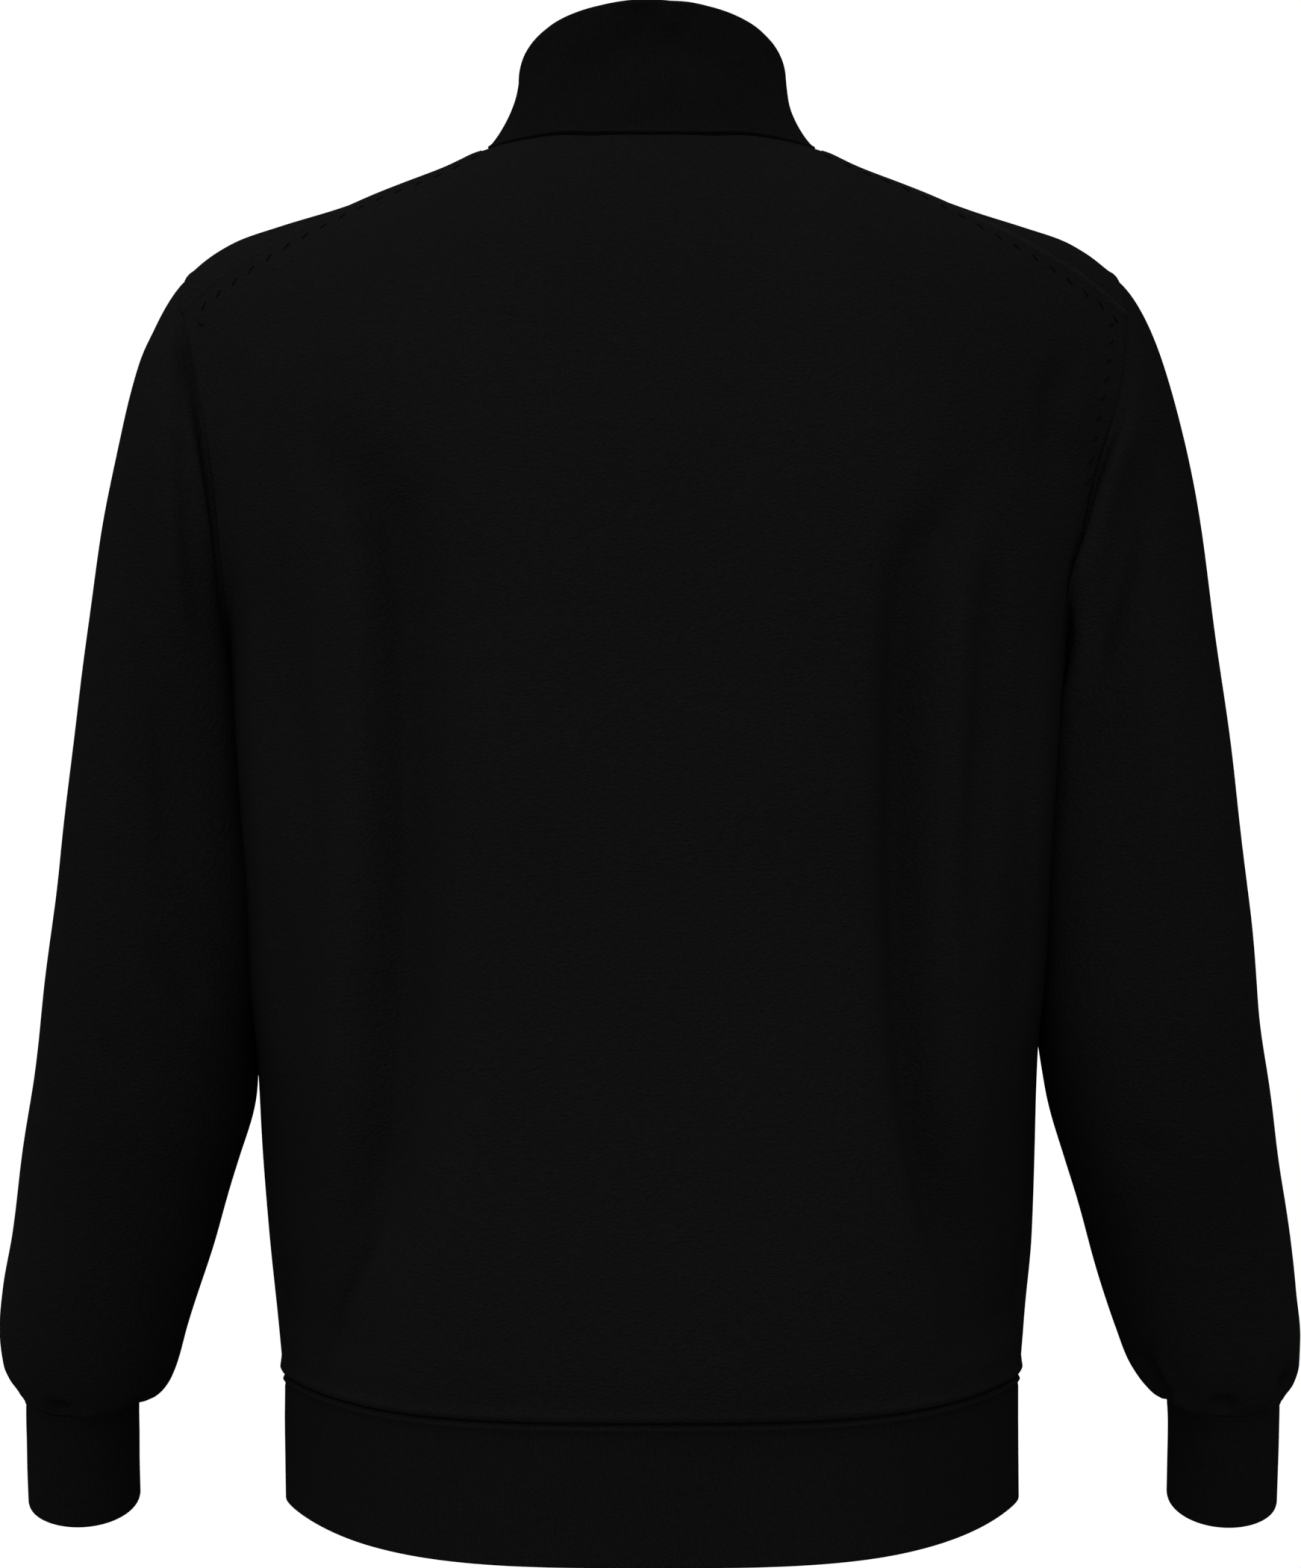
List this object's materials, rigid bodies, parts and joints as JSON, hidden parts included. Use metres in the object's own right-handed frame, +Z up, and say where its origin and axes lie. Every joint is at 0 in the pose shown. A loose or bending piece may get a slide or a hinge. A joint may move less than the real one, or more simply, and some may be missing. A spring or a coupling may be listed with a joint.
{
  "type": "golf sweater",
  "caption": "Long-sleeve golf sweater in near-black fleece jersey with a stand collar, hem band and cuffs of fine rib, filled out as if worn.",
  "frame": {"origin": "middle of the neck opening at the height of the shoulder beside the neck, where the garment hangs on its wearer", "axes": "+Z up along the body, the wearer faces -Y, +X is the wearer's left"},
  "size_m": [0.6507, 0.2485, 0.7388],
  "materials": {
    "jersey": "matte near-black fleece-faced jersey with a fine pebbled grain",
    "rib": "matte near-black 1x1 rib knit"
  },
  "bodies": {
    "root": {"back": "jersey", "front": "jersey", "sleeve_left": "jersey", "sleeve_right": "jersey", "collar": "rib", "hem_band": "rib", "cuff_left": "rib", "cuff_right": "rib"}
  },
  "joints": []
}
